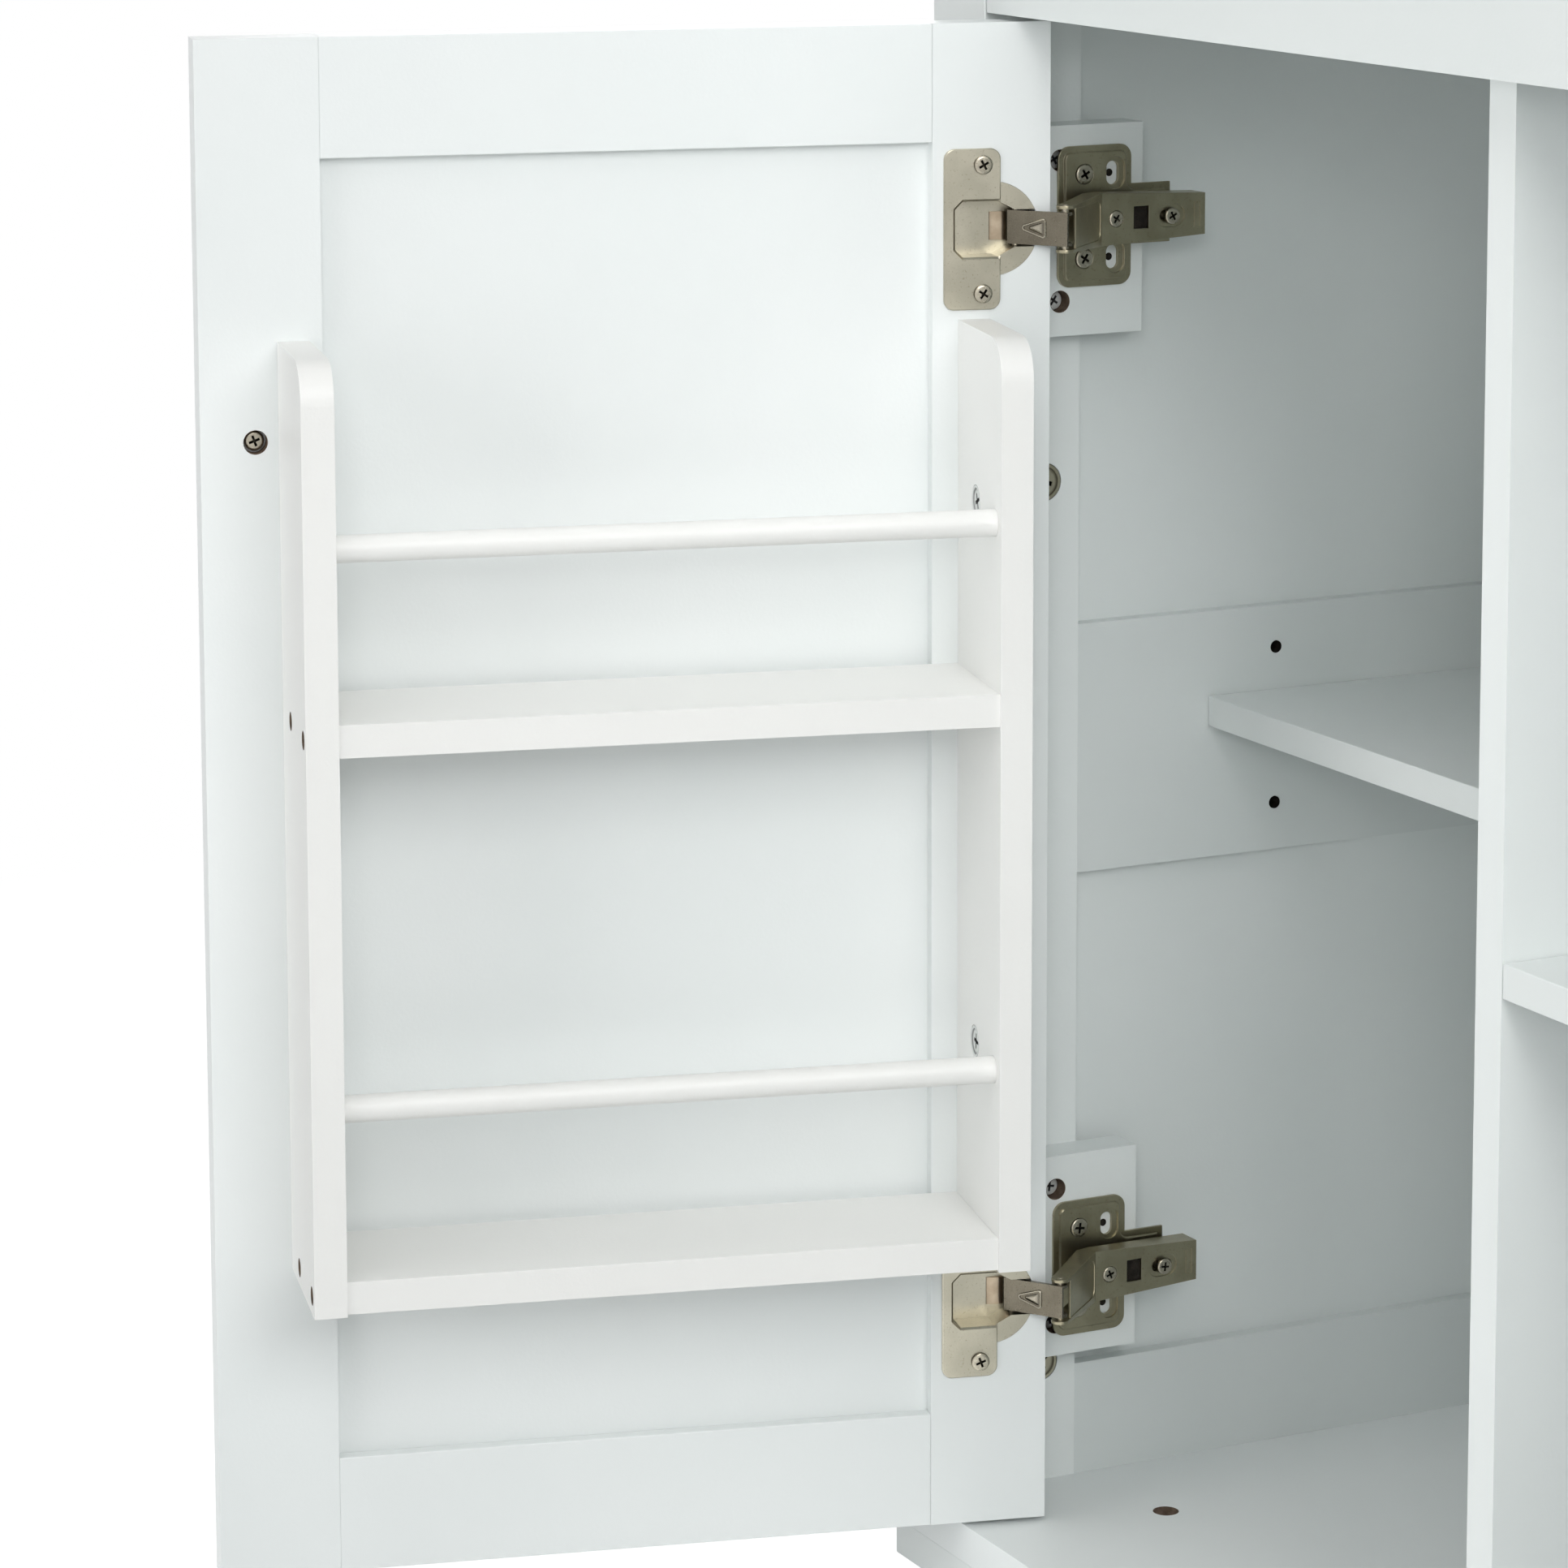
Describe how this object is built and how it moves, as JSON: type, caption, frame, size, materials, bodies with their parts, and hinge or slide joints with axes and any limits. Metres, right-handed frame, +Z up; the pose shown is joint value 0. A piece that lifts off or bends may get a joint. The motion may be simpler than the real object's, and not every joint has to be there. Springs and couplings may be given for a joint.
{
  "type": "storage cabinet",
  "caption": "White framed cabinet with an open bay, a shelved bay behind a hinged door that carries a rack of shelves and rods, concealed cranked hinges and a wide drawer.",
  "frame": {"origin": "centre of the base's underside, on the floor plane, on the middle bearer", "axes": "+X to the viewer's right when facing the front, +Y to the back, +Z up; the door is stored fully open and the drawer shut"},
  "size_m": [0.7727, 0.6786, 0.7705],
  "materials": {
    "cabinet_paint": "white satin paint on fibreboard",
    "door_paint": "white satin paint on fibreboard",
    "rack_paint": "warm white satin paint",
    "hinge_bronze": "dark nickel plate",
    "hinge_nickel": "warm nickel plate",
    "bright_steel": "bright zinc plate",
    "cam_zinc": "dull die-cast",
    "runner_steel": "zinc plate",
    "knob_nickel": "satin nickel"
  },
  "bodies": {
    "carcass": {"bottom_board": "cabinet_paint", "base_long_edges": "cabinet_paint", "base_cross_bearers": "cabinet_paint", "front_posts": "cabinet_paint", "rear_posts": "cabinet_paint", "side_stiles_left": "cabinet_paint", "side_rails_left": "cabinet_paint", "side_panels_left": "cabinet_paint", "side_stiles_right": "cabinet_paint", "side_rails_right": "cabinet_paint", "side_panels_right": "cabinet_paint", "side_cam_locks": "cam_zinc", "back_panel": "cabinet_paint", "divider": "cabinet_paint", "drawer_deck": "cabinet_paint", "top_board": "cabinet_paint", "left_shelf": "cabinet_paint", "right_shelf": "cabinet_paint", "shelf_pins": "bright_steel", "hinge_block_lower": "cabinet_paint", "hinge_block_upper": "cabinet_paint", "hinge_plate_lower": "hinge_bronze", "hinge_plate_upper": "hinge_bronze", "hinge_arm_lower": "hinge_bronze", "hinge_arm_upper": "hinge_bronze", "block_screws": "bright_steel", "plate_screws": "bright_steel", "arm_screws": "bright_steel", "arm_pins": "bright_steel", "runner_packers": "cabinet_paint", "outer_runners": "runner_steel"},
    "hinge_link": {"hinge_links": "hinge_nickel"},
    "door": {"door_stiles": "door_paint", "door_rails": "door_paint", "door_panel": "door_paint", "hinge_cup_lower": "hinge_nickel", "hinge_cup_upper": "hinge_nickel", "cup_pins": "bright_steel", "cup_screws": "bright_steel", "rack_side_near": "rack_paint", "rack_side_far": "rack_paint", "rack_shelf_lower": "rack_paint", "rack_shelf_upper": "rack_paint", "rack_rods": "rack_paint", "rack_cam_locks": "cam_zinc", "rack_screws": "bright_steel", "door_knob": "knob_nickel", "door_knob_screw": "bright_steel"},
    "drawer": {"drawer_front": "cabinet_paint", "drawer_sides": "cabinet_paint", "drawer_back": "cabinet_paint", "drawer_bottom": "cabinet_paint", "drawer_knobs": "knob_nickel", "drawer_knob_screws": "bright_steel", "inner_runners": "runner_steel"}
  },
  "joints": [
    {"name": "link_swing", "type": "hinge", "parent": "carcass", "child": "hinge_link", "pos_m": [-0.2811, -0.1685, 0.325], "axis": [0, 0, 1], "range_deg": [-16.96, 0]},
    {"name": "door_swing", "type": "hinge", "parent": "hinge_link", "child": "door", "pos_m": [-0.29764, -0.18033, 0.325], "axis": [0, 0, 1], "range_deg": [0, 120.95]},
    {"name": "drawer_slide", "type": "slide", "parent": "carcass", "child": "drawer", "axis": [0, -1, 0], "range_m": [0, 0.22]}
  ],
  "couplings": [
    {"joint": "link_swing", "follows": "door_swing", "ratio": -0.14014}
  ]
}
